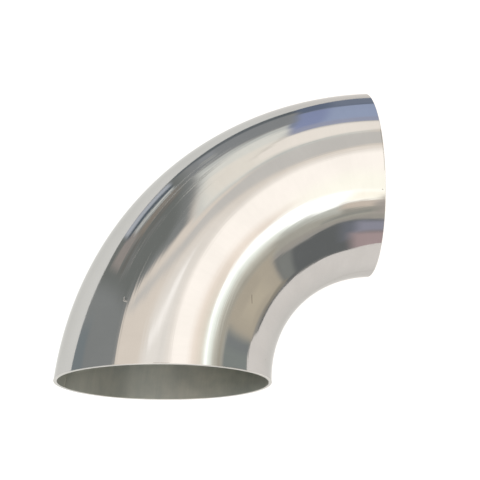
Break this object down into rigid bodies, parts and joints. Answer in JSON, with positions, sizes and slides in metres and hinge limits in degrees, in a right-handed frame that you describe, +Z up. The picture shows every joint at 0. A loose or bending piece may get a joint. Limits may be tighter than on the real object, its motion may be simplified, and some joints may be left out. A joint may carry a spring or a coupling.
{
  "type": "pipe elbow",
  "caption": "Thin-walled 90 degree short-radius pipe elbow in polished stainless steel with plain square butt-weld ends and flush-ground seams.",
  "frame": {"origin": "centre of the first end's opening, in the plane of its end face", "axes": "+Z up, square to the bend plane, with the elbow lying on its side; -Y out of the first end; +X out of the second end"},
  "size_m": [0.158, 0.158, 0.102],
  "materials": {
    "polished_steel": "bright polished, with fine polishing marks along the bend",
    "ground_weld": "weld ground and polished flush outside, left as welded inside"
  },
  "bodies": {
    "root": {"upper_half_shell": "polished_steel", "lower_half_shell": "polished_steel", "outer_seam_weld": "ground_weld", "inner_seam_weld": "ground_weld"}
  },
  "joints": []
}
